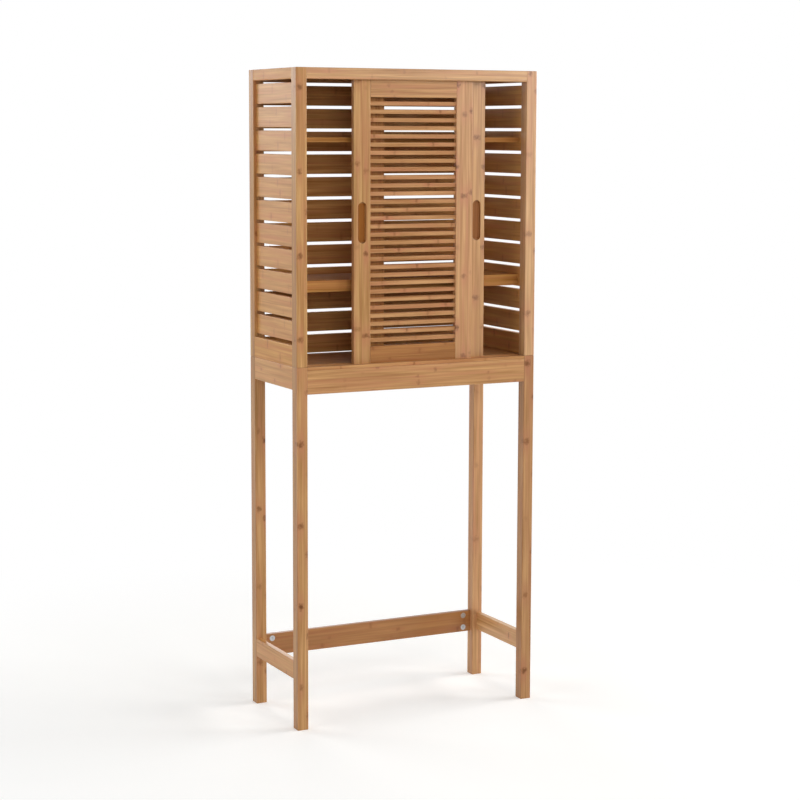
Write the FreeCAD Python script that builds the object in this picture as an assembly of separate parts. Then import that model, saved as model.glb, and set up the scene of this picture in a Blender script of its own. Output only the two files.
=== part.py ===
import FreeCAD, Part
import os

# Bathroom space saver cabinet in bamboo: a slatted cabinet with two louvred doors that slide past
# each other, carried on an open stand whose legs straddle a toilet.
# Millimetres. X to the right, Y to the rear, Z up. Origin on the floor, under the middle of the cabinet.

# Overall sizes
overall_width = 674.0
overall_depth = 298.0
overall_height = 1650.0
stand_height = 918.0  # floor to the joint between the legs and the cabinet's posts
post_size = 29.0  # square section of legs and posts
post_round = 1.5  # eased edges of legs and posts, ends included

# Boards of the stand and rails of the cabinet
board_thickness = 15.0
board_recess = 0.5  # boards sit this far inside the outer faces of legs and posts
board_round = 2.0
apron_height = 60.0
side_apron_height = 57.5
rear_stretcher_height = 58.0
side_stretcher_height = 48.0
stretcher_middle = 151.0  # height of the stretchers' centre line above the floor
top_rail_height = 28.0
back_top_rail_height = 30.6  # deeper, so the back slats hang lower than those of the sides

# Panels
floor_thickness = 8.0
floor_bearing = 6.0  # how far the floor panel reaches over the rear apron
top_thickness = 15.0
shelf_thickness = 12.5
panel_clearance = 0.3  # between a panel's edge and what stands beside it
panel_round = 1.0

# Slats of the sides and the back
slat_height = 50.6
slat_gap = 7.85
slat_thickness = 13.0
slat_round = 1.5
bottom_rail_least = 30.0  # the side's bottom rail fills what the slats leave, and is at least this high
back_foot_gap = 2.65  # between the lowest back slat and the floor panel
tenon_wall = 2.0  # wood left between the tenons of side and back slats in a rear post
mortise_clearance = 0.1

# Shelves, each dowelled to the third slat from its end of the side
shelf_slat = 3
upper_shelf_rise = 28.4  # shelf's middle above the lower edge of its slat
lower_shelf_rise = 24.9
lower_shelf_lip = 16.2  # how far the lower shelf's front edge is built up below the panel
shelf_lip_thickness = 18.0
shelf_setback = 2.0  # between the rear door and the shelves' front edges
shelf_dowel_inset = 40.0  # from the shelf's front and rear edges
shelf_dowel_skin = 4.0  # wood left outside a shelf dowel in its slat

# Sliding doors
door_thickness = 15.0
door_play = 1.0  # between the front rail and the front door
door_spacing = 4.0  # between the two doors
door_overlap = 50.0  # of the two doors when both are closed
stile_width = 46.0
door_top_rail = 60.3
door_bottom_rail = 46.2
door_round = 1.5
louvre_height = 10.5
louvre_thickness = 8.0
louvre_least_gap = 9.5
louvre_tenon = 6.0
louvre_round = 1.0
pull_width = 22.0
pull_height = 102.0
pull_depth = 8.0
pull_round = 1.5
front_door_opened = 134.0  # how far each door stands open from its own post
rear_door_opened = 102.0

# Grooves that guide the doors
groove_clearance = 0.5  # each side of a door
lower_groove_depth = 4.0
running_clearance = 0.4  # under a door
upper_engagement = 5.0  # a door's top edge in its upper groove
lift_room = 4.0  # room above a door, enough to lift it out of the lower groove

# Dowels, pins and cam fittings
dowel_diameter = 6.0
dowel_wall = 1.0  # wood left between a dowel and the corner pin of its post
top_dowel_spacing = 120.0
pin_diameter = 8.0
pin_length = 60.0
hole_clearance = 0.05  # radial
end_clearance = 0.5  # at the bottom of a hole
cam_diameter = 15.0
cam_skin = 3.0  # wood left behind a cam lock
cam_setback = 22.0  # cam lock's centre to the end of its board
cam_spacing = 33.0
cam_cross_length = 7.0
cam_cross_width = 1.4
cam_cross_depth = 2.0
bolt_diameter = 6.0
bolt_neck_diameter = 4.0
bolt_head_diameter = 7.0
bolt_head_length = 3.0
bolt_clearance = 0.3  # around the bolt's head, in the board and in the cam lock

# Places that follow from the sizes
half_width = overall_width / 2
half_depth = overall_depth / 2
post_inner_x = half_width - post_size
post_inner_y = half_depth - post_size
board_outer_x = half_width - board_recess
board_inner_x = board_outer_x - board_thickness
board_outer_y = half_depth - board_recess
board_inner_y = board_outer_y - board_thickness
slat_recess = (post_size - slat_thickness) / 2
slat_tenon = slat_recess - tenon_wall
slat_inner_x = half_width - slat_recess - slat_thickness
slat_outer_x = half_width - slat_recess
back_slat_front = half_depth - slat_recess - slat_thickness
back_slat_rear = half_depth - slat_recess
dowel_depth = (post_size - pin_diameter) / 2 - dowel_wall
long_apron_top = stand_height - floor_thickness
slat_zone_top = overall_height - top_rail_height
back_zone_top = overall_height - back_top_rail_height
slat_pitch = slat_height + slat_gap
slat_zone = slat_zone_top - stand_height
slat_count = int((slat_zone - slat_gap - bottom_rail_least) // slat_pitch)
bottom_rail_top = slat_zone_top - slat_count * slat_pitch - slat_gap
top_underside = overall_height - top_thickness
door_low = stand_height - lower_groove_depth + running_clearance
door_high = top_underside + upper_engagement
door_width = post_inner_x + door_overlap / 2
front_door_y = -board_inner_y + door_play
rear_door_y = front_door_y + door_thickness + door_spacing

sides = {"left": -1, "right": 1}
ends = {"front": -1, "rear": 1}
pieces = {}
hollows = {}


def add(node, solid):
    pieces.setdefault(node, []).append(solid)


def hollow(node, solid):
    hollows.setdefault(node, []).append(solid)


def block(xs, ys, zs):
    """Plain box between two places on each axis, given in either order."""
    low = [min(pair) for pair in (xs, ys, zs)]
    size = [abs(pair[1] - pair[0]) for pair in (xs, ys, zs)]
    return Part.makeBox(*size, FreeCAD.Vector(*low))


def bar(xs, ys, zs, along, radius):
    """Box whose four edges along one axis are eased, as a planed board's are."""
    solid = block(xs, ys, zs)
    across = [abs(pair[1] - pair[0]) for name, pair in zip("xyz", (xs, ys, zs)) if name != along]
    long_edges = []
    for edge in solid.Edges:
        direction = edge.Vertexes[1].Point - edge.Vertexes[0].Point
        if abs(getattr(direction, along)) > edge.Length / 2:
            long_edges.append(edge)
    return solid.makeFillet(min(radius, 0.4 * min(across)), long_edges)


def eased_post(xs, ys, zs):
    """Square post with every edge eased, so a fine line shows where two meet end to end."""
    solid = block(xs, ys, zs)
    return solid.makeFillet(post_round, solid.Edges)


def rod(start, axis, length, diameter):
    """Round rod from a start point along an axis. A negative length runs the other way."""
    direction = FreeCAD.Vector(*(length * (name == axis) for name in "xyz"))
    return Part.makeCylinder(diameter / 2, abs(length), FreeCAD.Vector(*start), direction)


def pegged(group, place, axis, diameter, depth, nodes):
    """Peg centred on the joint between two pieces, with a hole for it in both."""
    step = {name: depth * (name == axis) for name in "xyz"}
    room = {name: (depth + end_clearance) * (name == axis) for name in "xyz"}
    start = [value - step[name] for value, name in zip(place, "xyz")]
    hole_start = [value - room[name] for value, name in zip(place, "xyz")]
    add(group, rod(start, axis, 2 * depth, diameter))
    hole = rod(hole_start, axis, 2 * (depth + end_clearance), diameter + 2 * hole_clearance)
    for node in nodes:
        hollow(node, hole)


def dowel_pair(group, x, y, low, high, axis, nodes, depth=dowel_depth):
    """Two dowels in the end of a board, a quarter of its height from each edge."""
    for z in (low + (high - low) / 4, high - (high - low) / 4):
        pegged(group, (x, y, z), axis, dowel_diameter, depth, nodes)


# Legs and posts, pinned end to end at the four corners
def corner_posts():
    for side_name, side in sides.items():
        for end_name, end in ends.items():
            xs = (side * post_inner_x, side * half_width)
            ys = (end * post_inner_y, end * half_depth)
            leg = f"{end_name}_{side_name}_leg"
            post = f"{end_name}_{side_name}_post"
            add(leg, eased_post(xs, ys, (0, stand_height)))
            add(post, eased_post(xs, ys, (stand_height, overall_height)))
            middle = (sum(xs) / 2, sum(ys) / 2, stand_height)
            pegged("corner_pins", middle, "z", pin_diameter, pin_length / 2, (leg, post))


# Boards that run from front to rear between two legs or two posts, dowelled at both ends
def side_board(name, low, high, upright, group):
    for side_name, side in sides.items():
        node = f"{side_name}_{name}"
        xs = (side * board_inner_x, side * board_outer_x)
        add(node, bar(xs, (-post_inner_y, post_inner_y), (low, high), "y", board_round))
        for end_name, end in ends.items():
            joined = (node, f"{end_name}_{side_name}_{upright}")
            dowel_pair(group, sum(xs) / 2, end * post_inner_y, low, high, "y", joined)


# Boards that run from left to right between two legs or two posts
def cross_board(node, end, low, high):
    ys = (end * board_inner_y, end * board_outer_y)
    add(node, bar((-post_inner_x, post_inner_x), ys, (low, high), "x", board_round))


def dowelled_cross_rail(node, end_name, low, high):
    end = ends[end_name]
    cross_board(node, end, low, high)
    y = end * (board_inner_y + board_thickness / 2)
    for side_name, side in sides.items():
        joined = (node, f"{end_name}_{side_name}_post")
        dowel_pair("cabinet_dowels", side * post_inner_x, y, low, high, "x", joined)


def cam_fitting(board, leg, side, end, z):
    """Cam lock let into the inner face of a board, and the bolt in the leg that it draws tight."""
    face_y = end * board_inner_y
    bolt_y = end * (board_inner_y + board_thickness / 2)
    cam_x = side * (post_inner_x - cam_setback)
    cam_depth = board_thickness - cam_skin
    leg_face = side * post_inner_x

    cam = rod((cam_x, face_y, z), "y", end * cam_depth, cam_diameter)
    slot_half = bolt_head_diameter / 2 + bolt_clearance
    slot_end = cam_x - side * (bolt_head_length / 2 + bolt_clearance)
    slot_ys = (bolt_y - slot_half, bolt_y + slot_half)
    cam = cam.cut(block((slot_end, cam_x + side * cam_diameter), slot_ys, (z - slot_half, z + slot_half)))
    cross_ys = (face_y, face_y + end * cam_cross_depth)
    for long, high in ((cam_cross_length, cam_cross_width), (cam_cross_width, cam_cross_length)):
        xs = (cam_x - long / 2, cam_x + long / 2)
        cam = cam.cut(block(xs, cross_ys, (z - high / 2, z + high / 2)))
    add("cam_locks", cam)
    pocket_depth = end * (cam_depth + end_clearance)
    hollow(board, rod((cam_x, face_y, z), "y", pocket_depth, cam_diameter + 2 * hole_clearance))

    head_start = (cam_x - side * bolt_head_length / 2, bolt_y, z)
    head_end = cam_x + side * bolt_head_length / 2
    neck_end = cam_x + side * cam_diameter / 2
    thread_end = leg_face + side * dowel_depth
    bolt = rod(head_start, "x", side * bolt_head_length, bolt_head_diameter)
    bolt = bolt.fuse(rod((head_end, bolt_y, z), "x", neck_end - head_end, bolt_neck_diameter))
    bolt = bolt.fuse(rod((neck_end, bolt_y, z), "x", thread_end - neck_end, bolt_diameter))
    add("cam_bolts", bolt)
    hollow(board, rod((cam_x, bolt_y, z), "x", leg_face - cam_x, 2 * slot_half))
    thread_hole = side * (dowel_depth + end_clearance)
    hollow(leg, rod((leg_face, bolt_y, z), "x", thread_hole, bolt_diameter + 2 * hole_clearance))


def cam_locked_cross_board(node, end_name, low, high):
    end = ends[end_name]
    cross_board(node, end, low, high)
    middle = (low + high) / 2
    for side_name, side in sides.items():
        leg = f"{end_name}_{side_name}_leg"
        for z in (middle - cam_spacing / 2, middle + cam_spacing / 2):
            cam_fitting(node, leg, side, end, z)


# The stand: aprons under the cabinet, stretchers near the floor, none across the front
def stand_boards():
    side_board("apron", stand_height - side_apron_height, stand_height, "leg", "stand_dowels")
    cam_locked_cross_board("front_apron", "front", long_apron_top - apron_height, long_apron_top)
    cam_locked_cross_board("rear_apron", "rear", long_apron_top - apron_height, long_apron_top)
    side_low = stretcher_middle - side_stretcher_height / 2
    side_board("stretcher", side_low, side_low + side_stretcher_height, "leg", "stand_dowels")
    rear_low = stretcher_middle - rear_stretcher_height / 2
    cam_locked_cross_board("rear_stretcher", "rear", rear_low, rear_low + rear_stretcher_height)


def without_corners(panel, low, high):
    """A panel with room cut for the four posts."""
    inner_x = post_inner_x - panel_clearance
    inner_y = post_inner_y - panel_clearance
    for side in sides.values():
        for end in ends.values():
            xs = (side * inner_x, side * half_width)
            ys = (end * inner_y, end * half_depth)
            panel = panel.cut(block(xs, ys, (low, high)))
    return panel


def door_grooves(low, high):
    """Two stopped grooves that both doors' edges run in."""
    grooves = []
    for y in (front_door_y, rear_door_y):
        ys = (y - groove_clearance, y + door_thickness + groove_clearance)
        grooves.append(block((-post_inner_x, post_inner_x), ys, (low, high)))
    return grooves


# Floor panel lying on the long aprons, level with the tops of the legs
def floor_panel():
    half_x = board_inner_x - panel_clearance
    ys = (-board_outer_y, board_inner_y + floor_bearing)
    panel = bar((-half_x, half_x), ys, (long_apron_top, stand_height), "x", panel_round)
    panel = without_corners(panel, long_apron_top, stand_height)
    add("floor_panel", panel.cut(door_grooves(stand_height - lower_groove_depth, stand_height)))


# Top panel set level between the top rails, dowelled to the two at the sides
def top_panel():
    half_x = board_inner_x - panel_clearance
    half_y = board_inner_y - panel_clearance
    panel = block((-half_x, half_x), (-half_y, half_y), (top_underside, overall_height))
    panel = without_corners(panel, top_underside, overall_height)
    groove_top = door_high + lift_room
    add("top_panel", panel.cut(door_grooves(top_underside, groove_top)))
    middle_z = (top_underside + overall_height) / 2
    for side_name, side in sides.items():
        for y in (-top_dowel_spacing / 2, top_dowel_spacing / 2):
            place = (side * board_inner_x, y, middle_z)
            joined = ("top_panel", f"{side_name}_top_rail")
            pegged("cabinet_dowels", place, "x", dowel_diameter, dowel_depth, joined)


# Rails of the cabinet
def cabinet_rails():
    side_board("top_rail", slat_zone_top, overall_height, "post", "cabinet_dowels")
    side_board("bottom_rail", stand_height, bottom_rail_top, "post", "cabinet_dowels")
    dowelled_cross_rail("front_top_rail", "front", slat_zone_top, overall_height)
    dowelled_cross_rail("back_top_rail", "rear", back_zone_top, overall_height)


def slat_span(number, zone_top):
    """Lower and upper edge of a slat, counted from the rail above them."""
    high = zone_top - slat_gap - (number - 1) * slat_pitch
    return high - slat_height, high


def mortise(post, xs, ys, zs):
    """Pocket in a post for the end of a slat."""
    pairs = [(min(pair) - mortise_clearance, max(pair) + mortise_clearance) for pair in (xs, ys, zs)]
    hollow(post, block(*pairs))


# Slats of the two sides, let into the posts
def side_slats():
    reach = post_inner_y + slat_tenon
    for side_name, side in sides.items():
        xs = (side * slat_inner_x, side * slat_outer_x)
        for number in range(1, slat_count + 1):
            zs = slat_span(number, slat_zone_top)
            add(f"{side_name}_side_slats", bar(xs, (-reach, reach), zs, "y", slat_round))
            for end_name, end in ends.items():
                ys = (end * post_inner_y, end * reach)
                mortise(f"{end_name}_{side_name}_post", xs, ys, zs)


# Slats of the back, a little lower than those of the sides, with one more at the foot
def back_slats():
    reach = post_inner_x + slat_tenon
    ys = (back_slat_front, back_slat_rear)
    spans = [slat_span(number, back_zone_top) for number in range(1, slat_count + 1)]
    spans.append((stand_height + back_foot_gap, spans[-1][0] - slat_gap))
    for zs in spans:
        add("back_slats", bar((-reach, reach), ys, zs, "x", slat_round))
        for side_name, side in sides.items():
            mortise(f"rear_{side_name}_post", (side * post_inner_x, side * reach), ys, zs)


# Shelves between the side slats, behind the doors. A lip stiffens the lower one along its front.
def shelf(node, slat_number, rise, lip=0.0):
    middle = slat_span(slat_number, slat_zone_top)[0] + rise
    low = middle - shelf_thickness / 2
    high = middle + shelf_thickness / 2
    half_x = slat_inner_x - panel_clearance
    front = rear_door_y + door_thickness + shelf_setback
    rear = back_slat_front - panel_clearance
    panel = bar((-half_x, half_x), (front, rear), (low - lip, high), "x", panel_round)
    if lip:
        panel = panel.cut(block((-half_x, half_x), (front + shelf_lip_thickness, rear), (low - lip, low)))
    add(node, without_corners(panel, low, high))
    for side_name, side in sides.items():
        for y in (front + shelf_dowel_inset, rear - shelf_dowel_inset):
            place = (side * slat_inner_x, y, middle)
            joined = (node, f"{side_name}_side_slats")
            depth = slat_thickness - shelf_dowel_skin
            pegged("shelf_dowels", place, "x", dowel_diameter, depth, joined)


def finger_pull(middle_x, front_y, middle_z):
    """Upright oblong recess routed into a stile's face."""
    straight = pull_height / 2 - pull_width / 2
    ys = (front_y, front_y + pull_depth)
    xs = (middle_x - pull_width / 2, middle_x + pull_width / 2)
    recess = block(xs, ys, (middle_z - straight, middle_z + straight))
    for z in (middle_z - straight, middle_z + straight):
        recess = recess.fuse(rod((middle_x, front_y, z), "y", pull_depth, pull_width))
    return recess.removeSplitter()


def ease_pull(stile, middle_x, front_y, middle_z):
    """Round over the mouth of a finger pull."""
    low = FreeCAD.Vector(middle_x - pull_width, front_y - hole_clearance, middle_z - pull_height)
    high = FreeCAD.Vector(middle_x + pull_width, front_y + hole_clearance, middle_z + pull_height)
    region = FreeCAD.BoundBox(low, high)
    mouth = [edge for edge in stile.Edges if region.isInside(edge.BoundBox)]
    return stile.makeFillet(pull_round, mouth)


# A door: two stiles, two rails and louvres between them, with a finger pull in its outer stile
def door(name, left, front_y, pull_side):
    ys = (front_y, front_y + door_thickness)
    middle_y = front_y + door_thickness / 2
    right = left + door_width
    inner = (left + stile_width, right - stile_width)
    stile_spans = {"left": (left, inner[0]), "right": (inner[1], right)}
    rails = {
        "bottom_rail": (door_low, door_low + door_bottom_rail),
        "top_rail": (door_high - door_top_rail, door_high),
    }
    for rail, zs in rails.items():
        add(f"{name}_{rail}", bar(inner, ys, zs, "x", door_round))

    for side_name, xs in stile_spans.items():
        stile = bar(xs, ys, (door_low, door_high), "z", door_round)
        if side_name == pull_side:
            middle = (sum(xs) / 2, front_y, (stand_height + slat_zone_top) / 2)
            stile = ease_pull(stile.cut(finger_pull(*middle)), *middle)
        node = f"{name}_{side_name}_stile"
        add(node, stile)
        joint_x = inner[0] if side_name == "left" else inner[1]
        for rail, zs in rails.items():
            dowel_pair(f"{name}_dowels", joint_x, middle_y, *zs, "x", (node, f"{name}_{rail}"))

    louvre_low = rails["bottom_rail"][1]
    louvre_zone = rails["top_rail"][0] - louvre_low
    count = int((louvre_zone - louvre_least_gap) // (louvre_height + louvre_least_gap))
    gap = (louvre_zone - count * louvre_height) / (count + 1)
    louvre_ys = (middle_y - louvre_thickness / 2, middle_y + louvre_thickness / 2)
    for number in range(count):
        low = louvre_low + gap + number * (louvre_height + gap)
        zs = (low, low + louvre_height)
        xs = (inner[0] - louvre_tenon, inner[1] + louvre_tenon)
        add(f"{name}_louvres", bar(xs, louvre_ys, zs, "x", louvre_round))
        mortise(f"{name}_left_stile", (xs[0], inner[0]), louvre_ys, zs)
        mortise(f"{name}_right_stile", (inner[1], xs[1]), louvre_ys, zs)


corner_posts()
stand_boards()
floor_panel()
cabinet_rails()
top_panel()
side_slats()
back_slats()
shelf("upper_shelf", shelf_slat, upper_shelf_rise)
shelf("lower_shelf", slat_count + 1 - shelf_slat, lower_shelf_rise, lower_shelf_lip)
door("front_door", -post_inner_x + front_door_opened, front_door_y, "left")
door("rear_door", post_inner_x - rear_door_opened - door_width, rear_door_y, "right")

os.makedirs("parts", exist_ok=True)
for node, solids in pieces.items():
    cutters = hollows.get(node, [])
    finished = []
    for solid in solids:
        reached = [tool for tool in cutters if tool.BoundBox.intersect(solid.BoundBox)]
        finished += solid.cut(reached).Solids if reached else [solid]
    shape = finished[0] if len(finished) == 1 else Part.makeCompound(finished)
    shape.exportStep(f"parts/{node}.step")
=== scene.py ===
import math
from functools import partial

import bpy
from mathutils import Euler, Matrix, Vector

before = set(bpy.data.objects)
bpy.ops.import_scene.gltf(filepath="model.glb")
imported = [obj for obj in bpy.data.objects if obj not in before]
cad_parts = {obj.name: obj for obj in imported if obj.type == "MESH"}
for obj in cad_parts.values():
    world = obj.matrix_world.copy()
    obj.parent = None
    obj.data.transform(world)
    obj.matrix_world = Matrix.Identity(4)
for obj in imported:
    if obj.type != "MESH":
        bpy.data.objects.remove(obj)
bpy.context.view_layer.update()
bpy.ops.object.select_all(action="DESELECT")

# Legs of the stand: four square bamboo legs, each glued up from wide and narrow strips in two layers,
# planed, eased and lacquered. They stand on plain sawn ends, and a steel pin joins each to the post above.


def linear(hex_colour):
    """An sRGB hex colour as the linear values that shaders take."""
    values = []
    for place in (1, 3, 5):
        share = int(hex_colour[place:place + 2], 16) / 255
        values.append(share / 12.92 if share <= 0.04045 else ((share + 0.055) / 1.055) ** 2.4)
    return (*values, 1.0)


def add_node(tree, kind, inputs, **settings):
    """Add a shader node with its settings; an input, by name or in order, is linked to a socket or set."""
    made = tree.nodes.new(kind)
    for key, value in settings.items():
        setattr(made, key, value)
    for key, value in inputs.items() if isinstance(inputs, dict) else enumerate(inputs):
        if isinstance(value, bpy.types.NodeSocket):
            tree.links.new(value, made.inputs[key])
        else:
            made.inputs[key].default_value = value
    return made.outputs


def new_material(name):
    """An empty material and its node tree."""
    material = bpy.data.materials.new(name)
    material.use_nodes = True
    material.node_tree.nodes.clear()
    return material, material.node_tree


# A Mix node has sockets of the same names for numbers and for colours, so its colour sockets go by number
mix_share = 0
mix_from = 6
mix_to = 7
mixed = 2

# A board or layer so wide that it takes in the whole cabinet: where it starts and how wide it is
undivided = (-9.0, 18.0)


# Carbonised bamboo: strips steamed to a caramel brown, pressed into boards, planed and lacquered to a
# satin. The eye sees straight fibres, a tone of its own in each strip, soft brown marks where the stalk
# had its nodes, and sawn ends dotted with fibre bundles.
def bamboo(name, axes, seed, strip, boards=undivided, layers=undivided, mark=(0.009, 0.5, 0.7), glue=0.2,
           smoothest=0.25, lacquer=0.5, honey="#D4A368", caramel="#98622D", blush="#B87A4F", recess=None):
    """Bamboo whose axes run along the fibres, across the strips and through the board, in metres.

    boards and layers are the start and width of what repeats across and through. mark is a stalk mark's
    half height, its half width as a share of the strip and its depth of colour. recess is the middle and
    half size of a routed finger pull.
    """
    material, tree = new_material(name)
    node = partial(add_node, tree)
    board_start, board_width = boards
    layer_start, layer_width = layers
    mark_half_height, mark_half_width, mark_depth = mark
    coords = node("ShaderNodeTexCoord", {})
    place = node("ShaderNodeSeparateXYZ", [coords["Object"]])
    along, across, through = (place[axis] for axis in axes)

    # The board, strip and layer that a point belongs to
    board_place = node("ShaderNodeMath", [across, 1 / board_width, -board_start / board_width],
                       operation="MULTIPLY_ADD")[0]
    board = node("ShaderNodeMath", [board_place], operation="FLOOR")[0]
    board_share = node("ShaderNodeMath", [board_place], operation="FRACT")[0]
    strip_place = node("ShaderNodeMath", [board_share, board_width / strip], operation="MULTIPLY")[0]
    strip_number = node("ShaderNodeMath", [strip_place], operation="FLOOR")[0]
    strip_share = node("ShaderNodeMath", [strip_place], operation="FRACT")[0]
    strip_side = node("ShaderNodeMath", [strip_share, 0.5], operation="SUBTRACT")[0]
    layer_place = node("ShaderNodeMath", [through, 1 / layer_width, -layer_start / layer_width],
                       operation="MULTIPLY_ADD")[0]
    layer = node("ShaderNodeMath", [layer_place], operation="FLOOR")[0]
    strip_cell = node("ShaderNodeCombineXYZ", [board, strip_number, layer])[0]
    strip_chance = node("ShaderNodeTexWhiteNoise", {"Vector": strip_cell, "W": seed},
                        noise_dimensions="4D")["Value"]
    board_cell = node("ShaderNodeCombineXYZ", [board, layer, 0.0])[0]
    board_chance = node("ShaderNodeTexWhiteNoise", {"Vector": board_cell, "W": seed + 0.5},
                        noise_dimensions="4D")["Value"]

    # Fibres, drawn about 4 mm apart and so coarser than real ones, and broader bands of growth. Each strip
    # is cut from another stretch of up to 40 m of stalk.
    fibre_gap = 0.004
    fibre_run = 0.16
    band_gap = 0.010
    band_run = 0.25
    stalk_stretch = 40.0
    run = node("ShaderNodeMath", [strip_chance, stalk_stretch, along], operation="MULTIPLY_ADD")[0]
    grain_place = node("ShaderNodeCombineXYZ", [run, across, through])[0]
    fibre_scale = (1 / fibre_run, 1 / fibre_gap, 1 / fibre_gap)
    fibre_place = node("ShaderNodeMapping", {"Vector": grain_place, "Scale": fibre_scale})[0]
    fibre = node("ShaderNodeTexNoise", {
        "Vector": fibre_place, "Scale": 1.0, "Detail": 3.0, "Roughness": 0.6,
    })[0]
    band_scale = (1 / band_run, 1 / band_gap, 1 / band_gap)
    band_place = node("ShaderNodeMapping", {"Vector": grain_place, "Scale": band_scale})[0]
    band = node("ShaderNodeTexNoise", {"Vector": band_place, "Scale": 1.0, "Detail": 2.0})
    red_band = node("ShaderNodeSeparateXYZ", [band["Color"]])[1]

    # Stalk nodes: an uneven smudge in each strip every 200 mm or so, some strong, some hardly seen, with
    # edges ragged by 6 mm grain, in a reddish flush that runs out along the fibres
    stalk_spacing = 0.205
    ragged_gap = 0.00588
    ragged_depth = 1.2
    faintest = 0.15
    narrowest = 0.6
    widest = 1.3
    flush_depth = 0.8
    flush_squeeze = (0.3, 1.0, 0.0)
    stalk_place = node("ShaderNodeMath", [along, 1 / stalk_spacing, strip_chance],
                       operation="MULTIPLY_ADD")[0]
    stalk_number = node("ShaderNodeMath", [stalk_place], operation="FLOOR")[0]
    stalk_share = node("ShaderNodeMath", [stalk_place], operation="FRACT")[0]
    stalk_side = node("ShaderNodeMath", [stalk_share, 0.5], operation="SUBTRACT")[0]
    stalk_cell = node("ShaderNodeCombineXYZ", [strip_chance, stalk_number, 0.0])[0]
    stalk_chance = node("ShaderNodeTexWhiteNoise", {"Vector": stalk_cell, "W": seed + 0.25},
                        noise_dimensions="4D")["Color"]
    stalk_kind = node("ShaderNodeSeparateXYZ", [stalk_chance])
    mark_width = node("ShaderNodeMapRange", [
        stalk_kind[1], 0.0, 1.0, narrowest * mark_half_width, widest * mark_half_width,
    ])[0]
    mark_up = node("ShaderNodeMath", [stalk_side, stalk_spacing / mark_half_height], operation="MULTIPLY")[0]
    mark_over = node("ShaderNodeMath", [strip_side, mark_width], operation="DIVIDE")[0]
    mark_spot = node("ShaderNodeCombineXYZ", [mark_up, mark_over, 0.0])[0]
    mark_reach = node("ShaderNodeVectorMath", [mark_spot], operation="LENGTH")["Value"]
    ragged = node("ShaderNodeTexNoise", {
        "Vector": coords["Object"], "Scale": 1 / ragged_gap, "Detail": 1.0,
    })[0]
    mark_edge = node("ShaderNodeMath", [ragged, ragged_depth, mark_reach], operation="MULTIPLY_ADD")[0]
    mark_shape = node("ShaderNodeMapRange", [mark_edge, 0.6, 1.6, 1.0, 0.0],
                      interpolation_type="SMOOTHSTEP")[0]
    mark_strength = node("ShaderNodeMapRange", [
        stalk_kind[0], 0.0, 1.0, faintest * mark_depth, mark_depth,
    ])[0]
    marked = node("ShaderNodeMath", [mark_shape, mark_strength], operation="MULTIPLY")[0]
    flush_spot = node("ShaderNodeVectorMath", [mark_spot, flush_squeeze], operation="MULTIPLY")[0]
    flush_reach = node("ShaderNodeVectorMath", [flush_spot], operation="LENGTH")["Value"]
    flush = node("ShaderNodeMapRange", [flush_reach, 0.3, 1.3, flush_depth, 0.0],
                 interpolation_type="SMOOTHSTEP")[0]

    # Tone: each board and each strip has a little of its own, and the fibres and bands run through it
    own_share = 0.1
    fibre_share = 0.36
    band_share = 0.49
    red_share = 0.7
    mark_brown = linear("#6A3A0C")
    fibre_tone = node("ShaderNodeMapRange", [fibre, 0.33, 0.67, 0.0, fibre_share])[0]
    band_tone = node("ShaderNodeMapRange", [band["Fac"], 0.35, 0.65, 0.0, band_share])[0]
    grain_tone = node("ShaderNodeMath", [fibre_tone, band_tone], operation="ADD")[0]
    strip_tone = node("ShaderNodeMath", [strip_chance, own_share, grain_tone], operation="MULTIPLY_ADD")[0]
    tone = node("ShaderNodeMath", [board_chance, own_share, strip_tone], operation="MULTIPLY_ADD")[0]
    wood = node("ShaderNodeMix", {mix_share: tone, mix_from: linear(honey), mix_to: linear(caramel)},
                data_type="RGBA")[mixed]
    red_tone = node("ShaderNodeMapRange", [red_band, 0.45, 0.7, 0.0, red_share])[0]
    redness = node("ShaderNodeMath", [flush, mark_strength, red_tone], operation="MULTIPLY_ADD")[0]
    warm_wood = node("ShaderNodeMix", {mix_share: redness, mix_from: wood, mix_to: linear(blush)},
                     data_type="RGBA")[mixed]
    marked_wood = node("ShaderNodeMix", {mix_share: marked, mix_from: warm_wood, mix_to: mark_brown},
                       data_type="RGBA")[mixed]

    # Glue lines between strips, drawn 0.8 mm wide so that they show
    glue_width = 0.0008
    glue_brown = linear("#6B4320")
    strip_edge = node("ShaderNodeMath", [strip_side], operation="ABSOLUTE")[0]
    glue_line = node("ShaderNodeMapRange", [strip_edge, 0.5 - glue_width / strip, 0.5, 0.0, glue])[0]
    colour = node("ShaderNodeMix", {mix_share: glue_line, mix_from: marked_wood, mix_to: glue_brown},
                  data_type="RGBA")[mixed]

    # The lacquer lies over the fibres, which show in its gloss and in a slight relief
    gloss_spread = 0.14
    mark_relief = 0.2
    gloss = node("ShaderNodeMath", [fibre, gloss_spread, smoothest], operation="MULTIPLY_ADD")[0]
    relief_height = node("ShaderNodeMath", [marked, mark_relief, fibre], operation="MULTIPLY_ADD")[0]
    relief = node("ShaderNodeBump", {"Strength": 0.25, "Distance": 0.0006, "Height": relief_height})[0]

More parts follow.
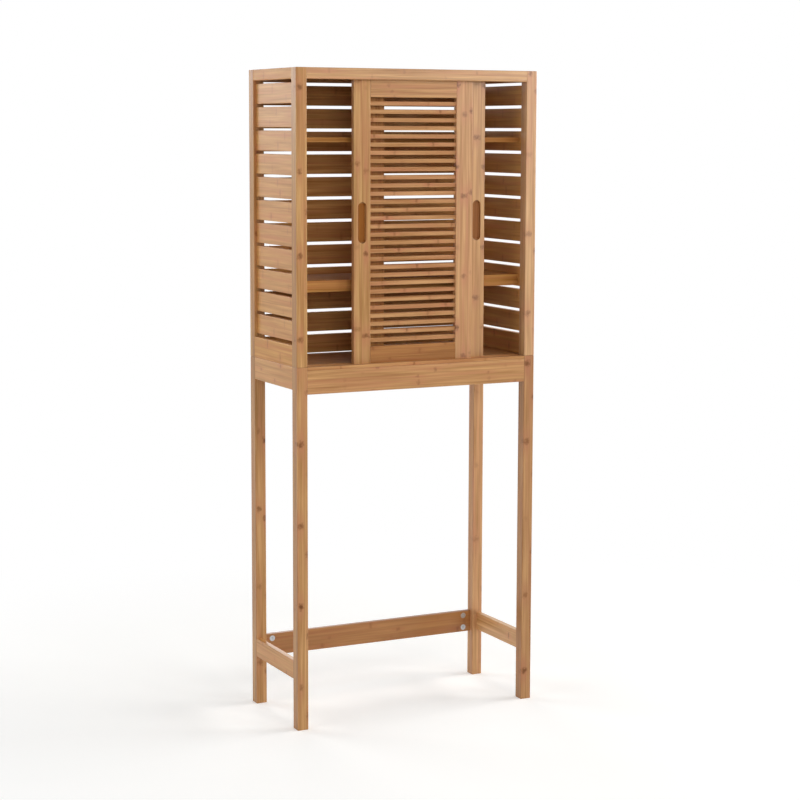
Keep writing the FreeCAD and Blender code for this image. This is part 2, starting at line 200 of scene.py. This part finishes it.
    # Inside a routed recess the colour is darker, a painted shade, and the lacquer is rougher and stays dull
    if recess:
        recess_middle, recess_half = recess
        recess_dulling = 0.4
        recess_shade_honey = linear("#A06222")
        recess_shade_caramel = linear("#844C15")
        recess_off = node("ShaderNodeVectorMath", [coords["Object"], recess_middle], operation="SUBTRACT")[0]
        recess_share = node("ShaderNodeVectorMath", [recess_off, recess_half], operation="DIVIDE")[0]
        recess_size = node("ShaderNodeVectorMath", [recess_share], operation="ABSOLUTE")[0]
        recess_place = node("ShaderNodeSeparateXYZ", [recess_size])
        recess_side = node("ShaderNodeMath", [recess_place[0], recess_place[1]], operation="MAXIMUM")[0]
        recess_edge = node("ShaderNodeMath", [recess_side, recess_place[2]], operation="MAXIMUM")[0]
        inside = node("ShaderNodeMapRange", [recess_edge, 0.9, 1.0, 1.0, 0.0])[0]
        # painted shade: the recess's colour is darkened as if shaded by its walls
        recess_shaded_wood = node("ShaderNodeMix", {mix_share: tone, mix_from: recess_shade_honey, mix_to: recess_shade_caramel},
                        data_type="RGBA")[mixed]
        colour = node("ShaderNodeMix", {mix_share: inside, mix_from: colour, mix_to: recess_shaded_wood},
                      data_type="RGBA")[mixed]
        gloss = node("ShaderNodeMath", [inside, recess_dulling, gloss], operation="MULTIPLY_ADD")[0]

    # Sawn ends: darker, with fibre bundles about 1.5 mm apart
    bundle_gap = 0.00154
    end_brown = linear("#99683A")
    bundle_brown = linear("#5A3718")
    facing = node("ShaderNodeSeparateXYZ", [coords["Normal"]])[axes[0]]
    end_share = node("ShaderNodeMath", [facing], operation="ABSOLUTE")[0]
    end_face = node("ShaderNodeMapRange", [end_share, 0.75, 0.95, 0.0, 1.0])[0]
    bundles = node("ShaderNodeTexVoronoi", {"Vector": coords["Object"], "Scale": 1 / bundle_gap})["Distance"]
    dots = node("ShaderNodeMapRange", [bundles, 0.1, 0.5, 1.0, 0.0])[0]
    end_wood = node("ShaderNodeMix", {mix_share: dots, mix_from: end_brown, mix_to: bundle_brown},
                    data_type="RGBA")[mixed]
    surface = node("ShaderNodeMix", {mix_share: end_face, mix_from: colour, mix_to: end_wood},
                   data_type="RGBA")[mixed]

    shader = node("ShaderNodeBsdfPrincipled", {
        "Base Color": surface,
        "Roughness": gloss,
        "IOR": 1.5,
        "Specular IOR Level": lacquer,
        "Normal": relief,
    })[0]
    node("ShaderNodeOutputMaterial", {"Surface": shader})
    return material


def finish_nodes(names, material):
    """Give CAD nodes their finish."""
    for name in names:
        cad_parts[name].material_slots[0].material = material


# A leg is one board of a wide and a narrow strip, in two layers. The legs stand 645 mm apart across and
# 269 mm apart in depth, which is a whole number of boards and layers. The two right legs have tones of
# their own: the front one darker, a painted shade, the rear one paler, painted light, and hardly marked.
leg_seed = 205.432
leg_strip = 0.020
leg_boards = (-0.3375, 0.645 / 22)
leg_layers = (-0.1495, 0.269 / 18)
leg_tone_sets_with_painted_light = {
    "leg_bamboo": (
        ["front_left_leg", "rear_left_leg"], 0.9,
        {"honey": "#D8A871", "caramel": "#9A6834", "blush": "#BB8158"},
    ),
    # painted shade: the front right leg's darker tones
    "front_right_leg_painted_shade_bamboo": (
        ["front_right_leg"], 0.9,
        {"honey": "#CB9C6A", "caramel": "#905E31", "blush": "#AF7652"},
    ),
    # painted light: the rear right leg's paler tones stand in for light its shaded place lacks
    "rear_right_leg_painted_light_bamboo": (
        ["rear_right_leg"], 0.4,
        {"honey": "#E2B280", "caramel": "#A3703F", "blush": "#C58B66"},
    ),
}
for leg_material_name, (legs, leg_mark_depth, leg_tones) in leg_tone_sets_with_painted_light.items():
    leg_bamboo = bamboo(leg_material_name, "ZXY", seed=leg_seed, strip=leg_strip, boards=leg_boards, layers=leg_layers,
                        mark=(0.013, 0.6, leg_mark_depth), lacquer=0.3, **leg_tones)
    finish_nodes(legs, leg_bamboo)

# Aprons and stretchers: planed bamboo boards on edge between the legs. The side ones are dowelled, the
# long ones are drawn tight by cam fittings. The side boards are of a pale batch. The right stretcher is
# paler still, a painted sheen and light on its inner face, and the rear stretcher is darker.
pale_batch = {"honey": "#DDA763", "caramel": "#B27839", "blush": "#C8834F"}
stretcher_strip = 0.0195
stretcher_boards = (0.1215, 0.0585)
apron_strip = 0.0151
apron_boards = (0.8575, 0.0605)
side_board_mark = (0.006, 0.6, 0.55)
long_board_mark = (0.008, 0.6, 0.6)
side_board_bamboo = bamboo("side_board_bamboo", "YZX", seed=2.0, strip=stretcher_strip,
                           boards=stretcher_boards, mark=side_board_mark, lacquer=0.42, **pale_batch)
finish_nodes(["left_apron", "right_apron", "left_stretcher"], side_board_bamboo)
# painted sheen: the right stretcher's paler, bluer tones stand in for light reflected on its inner face
right_stretcher_painted_sheen_bamboo = bamboo("right_stretcher_painted_sheen_bamboo", "YZX", seed=2.4, strip=stretcher_strip,
                                boards=stretcher_boards, mark=side_board_mark,
                                honey="#F2C68C", caramel="#B47E46", blush="#D4966C")
finish_nodes(["right_stretcher"], right_stretcher_painted_sheen_bamboo)
apron_bamboo = bamboo("apron_bamboo", "XZY", seed=3.0, strip=apron_strip, boards=apron_boards,
                      mark=long_board_mark)
finish_nodes(["front_apron", "rear_apron"], apron_bamboo)
stretcher_bamboo = bamboo("stretcher_bamboo", "XZY", seed=3.3, strip=stretcher_strip,
                          boards=stretcher_boards, mark=long_board_mark,
                          honey="#B9824A", caramel="#915F2F", blush="#A26438")
finish_nodes(["rear_stretcher"], stretcher_bamboo)

# Cam fittings and pins: cast cam locks in the boards' faces, with a cross recess for the driver, the
# turned bolts that they draw tight, and the pins between legs and posts. All are zinc plated, fairly
# bright, with an uneven grain of crystals that is drawn about 1 mm apart so that it shows.
crystal_gap = 0.00111
zinc, zinc_tree = new_material("zinc_plated_steel")
zinc_node = partial(add_node, zinc_tree)
zinc_coords = zinc_node("ShaderNodeTexCoord", {})["Object"]
zinc_grain = zinc_node("ShaderNodeTexNoise", {
    "Vector": zinc_coords, "Scale": 1 / crystal_gap, "Detail": 2.0,
})[0]
zinc_wear = zinc_node("ShaderNodeMapRange", [zinc_grain, 0.3, 0.7, 0.25, 0.45])[0]
zinc_colour = zinc_node("ShaderNodeMix", {
    mix_share: zinc_grain, mix_from: linear("#C9CACB"), mix_to: linear("#A9AAAC"),
}, data_type="RGBA")[mixed]
zinc_shader = zinc_node("ShaderNodeBsdfPrincipled", {
    "Base Color": zinc_colour, "Metallic": 1.0, "Roughness": zinc_wear,
})[0]
zinc_node("ShaderNodeOutputMaterial", {"Surface": zinc_shader})
finish_nodes(["cam_locks", "cam_bolts", "corner_pins"], zinc)

# Floor, top and shelves: wide bamboo panels edge-glued from strips that run from side to side. The floor
# and the top carry the door grooves, the shelves are dowelled to the slats. Their lacquer is duller than
# on the boards, and thin on the floor and the shelves.
panel_strip = 0.020
panel_mark = (0.006, 0.6, 0.5)
# painted light: the floor panel's paler tones brighten the strip of its top in front of the doors
floor_panel_painted_light_bamboo = bamboo("floor_panel_painted_light_bamboo", "XYZ", seed=4.0, strip=panel_strip, mark=panel_mark,
                            smoothest=0.45, lacquer=0.15,
                            honey="#D8A56E", caramel="#9A6538", blush="#BB7C52")
finish_nodes(["floor_panel"], floor_panel_painted_light_bamboo)
shelf_bamboo = bamboo("shelf_bamboo", "XYZ", seed=4.3, strip=panel_strip, mark=panel_mark,
                      smoothest=0.45, lacquer=0.15,
                      honey="#D19C58", caramel="#955D22", blush="#B57444")
finish_nodes(["upper_shelf", "lower_shelf"], shelf_bamboo)
top_bamboo = bamboo("top_bamboo", "XYZ", seed=4.6, strip=panel_strip, mark=panel_mark, smoothest=0.50)
finish_nodes(["top_panel"], top_bamboo)

# Posts of the cabinet: the same square bamboo as the legs, standing on them and held by a steel pin. The
# right pair is paler, a painted sheen, and has a glossier coat.
post_seed = 760.744
post_mark = (0.012, 0.6, 0.8)
post_tone_sets_with_painted_sheen = {
    "left": {"lacquer": 0.3, "honey": "#D6A86D", "caramel": "#9B6531", "blush": "#BB7E54"},
    # painted sheen: the right posts' paler tones
    "right": {"lacquer": 0.6, "honey": "#E0B582", "caramel": "#A67140", "blush": "#C68B65"},
}
for side, post_tones in post_tone_sets_with_painted_sheen.items():
    post_bamboo = bamboo(f"{side}_post_bamboo", "ZXY", seed=post_seed, strip=leg_strip,
                         boards=leg_boards, layers=leg_layers, mark=post_mark, **post_tones)
    finish_nodes([f"front_{side}_post", f"rear_{side}_post"], post_bamboo)

# Rails of the cabinet: planed bamboo boards of two strips on edge, level with the posts' outer faces and
# dowelled to them. The side rails are of the pale batch, the front and back ones have the glossiest coat.
side_rail_strip = 0.0305
side_rail_boards = (0.9175, 0.061)
side_rail_bamboo = bamboo("side_rail_bamboo", "YZX", seed=6.0, strip=side_rail_strip,
                          boards=side_rail_boards, mark=(0.005, 0.7, 0.5),
                          smoothest=0.33, lacquer=0.25, **pale_batch)
finish_nodes(["left_top_rail", "right_top_rail", "left_bottom_rail", "right_bottom_rail"], side_rail_bamboo)
cross_rail_strip = 0.0145
cross_rail_boards = (1.6215, 0.029)
cross_rail_bamboo = bamboo("cross_rail_bamboo", "XZY", seed=7.0, strip=cross_rail_strip,
                           boards=cross_rail_boards, mark=(0.006, 0.7, 0.55), lacquer=0.8,
                           honey="#DAAA6C", caramel="#9D6730", blush="#BE8052")
finish_nodes(["front_top_rail", "back_top_rail"], cross_rail_bamboo)

# Slats of the sides and the back: thin bamboo boards of two wide strips, let into the posts with open
# gaps between them. Their strips are matched, so no glue line shows.
slat_strip = 0.0257
side_slat_boards = (0.9785, 0.05845)
back_slat_boards = (0.9759, 0.05845)
slat_mark = (0.006, 0.8, 0.35)
for side, slat_lacquer in (("left", 0.5), ("right", 0.25)):
    side_slat_bamboo = bamboo(f"{side}_slat_bamboo", "YZX", seed=8.0, strip=slat_strip,
                              boards=side_slat_boards, mark=slat_mark, glue=0.0,
                              smoothest=0.33, lacquer=slat_lacquer, **pale_batch)
    finish_nodes([f"{side}_side_slats"], side_slat_bamboo)
back_slat_bamboo = bamboo("back_slat_bamboo", "XZY", seed=9.0, strip=slat_strip,
                          boards=back_slat_boards, mark=slat_mark, glue=0.0, lacquer=0.1,
                          honey="#DCAA6A", caramel="#9F662F", blush="#C08152")
finish_nodes(["back_slats"], back_slat_bamboo)

# Doors: bamboo stiles and rails dowelled together round a ladder of narrow louvres, with a finger pull
# routed into the outer stile. They slide in grooves in the floor and the top. The stiles have tones and
# coats of their own, the rear door's left stile darker as a painted shade from the front door, and the
# bottom rails are darker.
stile_strip = 0.0231
stile_mark = (0.010, 0.65, 0.95)
stile_tone_sets_with_painted_shade = {
    "front_door_left_stile": {"lacquer": 0.25, "honey": "#D3A66E", "caramel": "#976530", "blush": "#B77D54"},
    "front_door_right_stile": {"lacquer": 0.6, "honey": "#D8A770", "caramel": "#9C6533", "blush": "#BC7E56"},
    # painted shade: the rear door's left stile is darker where it stands behind the front door
    "rear_door_left_stile": {"lacquer": 0.1, "honey": "#BD8850", "caramel": "#8A5628", "blush": "#A66A40"},
    "rear_door_right_stile": {"lacquer": 0.7, "honey": "#DAAA6E", "caramel": "#9D6733", "blush": "#B87E52"},
}
pull_half = (0.0115, 0.0040, 0.0515)
pull_middles = {"front_door": (-0.1515, -0.1275, 1.270), "rear_door": (0.182, -0.1085, 1.270)}
door_rail_strip = 0.0155
louvre_strip = 0.0203
louvre_boards = (0.9690, 0.02031)
for door, door_seed in (("front_door", 10.0), ("rear_door", 11.0)):
    for stile in (f"{door}_left_stile", f"{door}_right_stile"):
        stile_bamboo = bamboo(f"{stile}_bamboo", "ZXY", seed=door_seed, strip=stile_strip, mark=stile_mark,
                              recess=(pull_middles[door], pull_half), **stile_tone_sets_with_painted_shade[stile])
        finish_nodes([stile], stile_bamboo)
    top_rail_bamboo = bamboo(f"{door}_top_rail_bamboo", "XZY", seed=door_seed + 0.1,
                             strip=door_rail_strip, mark=(0.008, 0.6, 0.6))
    finish_nodes([f"{door}_top_rail"], top_rail_bamboo)
    bottom_rail_bamboo = bamboo(f"{door}_bottom_rail_bamboo", "XZY", seed=door_seed + 0.2,
                                strip=door_rail_strip, mark=(0.008, 0.6, 0.5), lacquer=0.3,
                                honey="#C0864B", caramel="#845222", blush="#9D6034")
    finish_nodes([f"{door}_bottom_rail"], bottom_rail_bamboo)
    louvre_bamboo = bamboo(f"{door}_louvre_bamboo", "XZY", seed=door_seed + 0.3, strip=louvre_strip,
                           boards=louvre_boards, mark=(0.006, 0.8, 0.6), smoothest=0.45, lacquer=0.2,
                           honey="#D4A370", caramel="#986231", blush="#B87A55")
    finish_nodes([f"{door}_louvres"], louvre_bamboo)

# Dowels: plain turned beech pegs, glued in and hidden in their joints. Beech is paler than the bamboo and
# has a fine straight grain of its own, with hardly a mark.
dowel_strip = 0.006
dowel_beech = bamboo("dowel_beech", "XYZ", seed=12.0, strip=dowel_strip, mark=(0.002, 0.3, 0.1),
                     honey="#D2B383", caramel="#C4A06C", blush="#CBA06E")
finish_nodes(["stand_dowels", "cabinet_dowels", "shelf_dowels", "front_door_dowels", "rear_door_dowels"],
             dowel_beech)

# Studio floor: a wide white floor that takes the cabinet's soft shadow and passes into the white surround
# within two metres of it. A little light of its own, only where it is seen, keeps it near white.
floor_size = 14.0
fade_start = 0.7
fade_end = 2.0
floor_lift = 0.3
white = (1.0, 1.0, 1.0, 1.0)
bpy.ops.mesh.primitive_plane_add(size=floor_size, location=(0, 0, 0))
floor = bpy.context.active_object
floor.name = "studio_floor"
floor_paint, floor_tree = new_material("studio_floor_paint")
floor_node = partial(add_node, floor_tree)
floor_coords = floor_node("ShaderNodeTexCoord", {})["Object"]
floor_reach = floor_node("ShaderNodeVectorMath", [floor_coords], operation="LENGTH")["Value"]
floor_fade = floor_node("ShaderNodeMapRange", [floor_reach, fade_start, fade_end, 0.0, 1.0],
                        interpolation_type="SMOOTHSTEP")[0]
floor_path = floor_node("ShaderNodeLightPath", {})
floor_seen = floor_node("ShaderNodeMath", [floor_path["Is Camera Ray"], floor_path["Is Glossy Ray"]],
                        operation="MAXIMUM")[0]
floor_far = floor_node("ShaderNodeMath", [floor_fade, floor_seen], operation="MULTIPLY")[0]
lift_seen = floor_node("ShaderNodeMath", [floor_seen, floor_lift], operation="MULTIPLY")[0]
floor_diffuse = floor_node("ShaderNodeBsdfDiffuse", {"Color": linear("#F0F0EE")})[0]
floor_tint = floor_node("ShaderNodeEmission", {"Color": white, "Strength": lift_seen})[0]
floor_near = floor_node("ShaderNodeAddShader", [floor_diffuse, floor_tint])[0]
floor_glow = floor_node("ShaderNodeEmission", {"Color": white, "Strength": 1.0})[0]
floor_surface = floor_node("ShaderNodeMixShader", [floor_far, floor_near, floor_glow])[0]
floor_node("ShaderNodeOutputMaterial", {"Surface": floor_surface})
floor.data.materials.append(floor_paint)

# White surround: plain white where it is seen, mirrored or looked at through something, and only a weak
# fill where it lights the cabinet.
fill_strength = 0.09
world = bpy.data.worlds.new("white_surround")
bpy.context.scene.world = world
world.use_nodes = True
world.node_tree.nodes.clear()
sky_node = partial(add_node, world.node_tree)
sky_path = sky_node("ShaderNodeLightPath", {})
sky_seen = sky_node("ShaderNodeMath", [sky_path["Is Camera Ray"], sky_path["Is Glossy Ray"]],
                    operation="MAXIMUM")[0]
sky_shown = sky_node("ShaderNodeMath", [sky_seen, sky_path["Is Transmission Ray"]], operation="MAXIMUM")[0]
sky_fill = sky_node("ShaderNodeBackground", {"Color": white, "Strength": fill_strength})[0]
sky_white = sky_node("ShaderNodeBackground", {"Color": white, "Strength": 1.0})[0]
sky_surface = sky_node("ShaderNodeMixShader", [sky_shown, sky_fill, sky_white])[0]
sky_node("ShaderNodeOutputWorld", {"Surface": sky_surface})

# Soft boxes: one high in front and a pair on the right light the fronts and give the upper right its
# sheen, a large one on the left and one behind it do the same for the left side, and weaker ones beside
# the camera and behind fill in.


def soft_box(name, place, aim, size, watts):
    """A square soft box at a place, turned to a point of the cabinet."""
    data = bpy.data.lights.new(name, "AREA")
    data.size = size
    data.energy = watts
    lamp = bpy.data.objects.new(name, data)
    bpy.context.scene.collection.objects.link(lamp)
    lamp.location = place
    lamp.rotation_euler = (Vector(aim) - Vector(place)).to_track_quat("-Z", "Y").to_euler()


soft_box("right_front_box", place=(3.5, -4.5, 2.5), aim=(0, 0, 1.2), size=2.0, watts=56.0)
soft_box("front_box", place=(0.6, -5.2, 3.8), aim=(0, 0, 1.2), size=2.0, watts=68.0)
soft_box("right_box", place=(5.2, -1.0, 2.6), aim=(0, 0, 1.0), size=3.4, watts=220.0)
soft_box("left_rear_box", place=(-2.5, 3.4, 2.6), aim=(0, 0, 1.4), size=2.2, watts=58.0)
soft_box("left_box", place=(-6.0, -1.1, 1.7), aim=(0, 0, 0.8), size=3.4, watts=98.0)
soft_box("camera_box", place=(-1.6, -4.4, 2.0), aim=(0, 0, 1.0), size=1.6, watts=36.0)
soft_box("rear_box", place=(0.6, 4.0, 2.4), aim=(0, 0, 1.2), size=2.0, watts=40.0)

# Camera: a long lens at the photograph's viewing angle, to the left of the cabinet's front and a little
# below the height of its top, level enough that the posts stay nearly upright.
focal_pixels = 1999.2
image_pixels = 800
turn = math.radians(26.646)
tilt = math.radians(7.002)
roll = math.radians(0.163)
camera_place = (-2.2969, -4.6204, 1.4982)
camera_data = bpy.data.cameras.new("camera")
camera_data.sensor_width = 36.0
camera_data.lens = focal_pixels / image_pixels * camera_data.sensor_width
camera_data.shift_y = -0.03
camera = bpy.data.objects.new("camera", camera_data)
bpy.context.scene.collection.objects.link(camera)
camera_turn = Euler((math.pi / 2 - tilt, 0, -turn)).to_matrix().to_4x4()
camera.matrix_world = Matrix.Translation(camera_place) @ camera_turn @ Matrix.Rotation(roll, 4, "Z")
bpy.context.scene.camera = camera
bpy.context.scene.view_settings.view_transform = "Standard"
